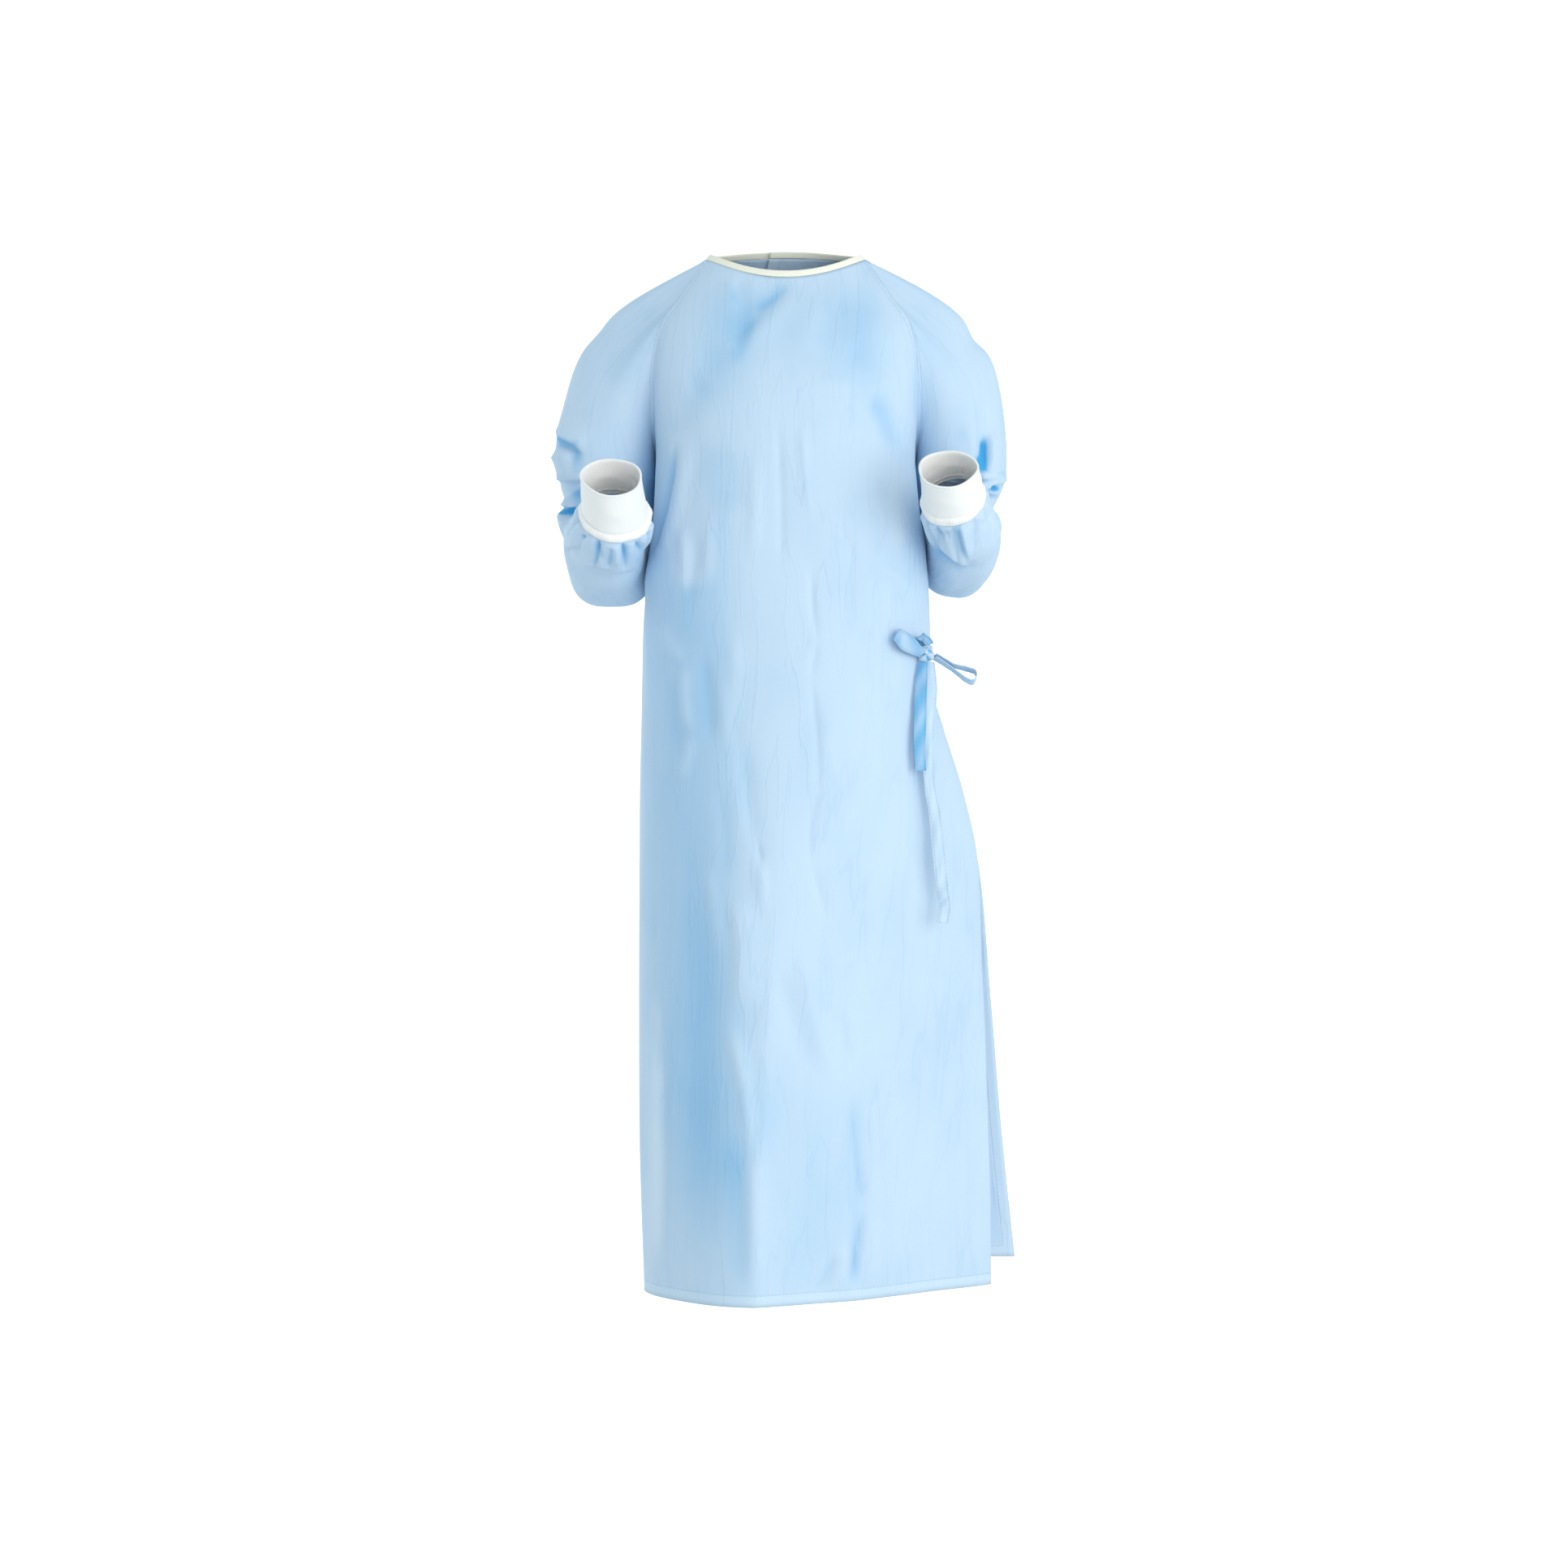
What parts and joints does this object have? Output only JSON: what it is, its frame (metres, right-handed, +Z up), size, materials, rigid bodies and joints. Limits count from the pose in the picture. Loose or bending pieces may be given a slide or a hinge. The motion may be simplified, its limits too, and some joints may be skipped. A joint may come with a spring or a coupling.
{
  "type": "surgical gown",
  "caption": "Wrap-around surgical gown in worn pose: hollow body, bent raglan sleeves, knit cuffs, bound neck, overlapping back and a waist tie knotted at the side.",
  "frame": {"origin": "middle of the neck opening, level with the lowest points of its sides, where the gown hangs from the wearer's shoulders", "axes": "+Z up along the wearer's back, -Y the way the gown faces, +X the wearer's left"},
  "size_m": [0.5419, 0.4367, 1.1954],
  "materials": {
    "front": "matt nonwoven cloth",
    "back_left": "matt nonwoven cloth",
    "back_right": "matt nonwoven cloth",
    "sleeve_right": "matt nonwoven cloth",
    "sleeve_left": "matt nonwoven cloth",
    "cuff_right": "matt rib knit",
    "cuff_left": "matt rib knit",
    "neck_binding": "matt tape",
    "neck_tab": "matt hook-and-loop",
    "belt_strap": "matt nonwoven cloth",
    "belt_knot": "matt nonwoven cloth",
    "belt_loop_front": "matt nonwoven cloth",
    "belt_loop_side": "matt nonwoven cloth",
    "belt_loop_top": "matt nonwoven cloth",
    "belt_tail_short": "matt nonwoven cloth",
    "belt_tail_long": "matt nonwoven cloth"
  },
  "bodies": {
    "root": {"front": "front", "back_left": "back_left", "back_right": "back_right", "sleeve_right": "sleeve_right", "sleeve_left": "sleeve_left", "cuff_right": "cuff_right", "cuff_left": "cuff_left", "neck_binding": "neck_binding", "neck_tab": "neck_tab", "belt_strap": "belt_strap", "belt_knot": "belt_knot", "belt_loop_front": "belt_loop_front", "belt_loop_side": "belt_loop_side", "belt_loop_top": "belt_loop_top", "belt_tail_short": "belt_tail_short", "belt_tail_long": "belt_tail_long"}
  },
  "joints": []
}
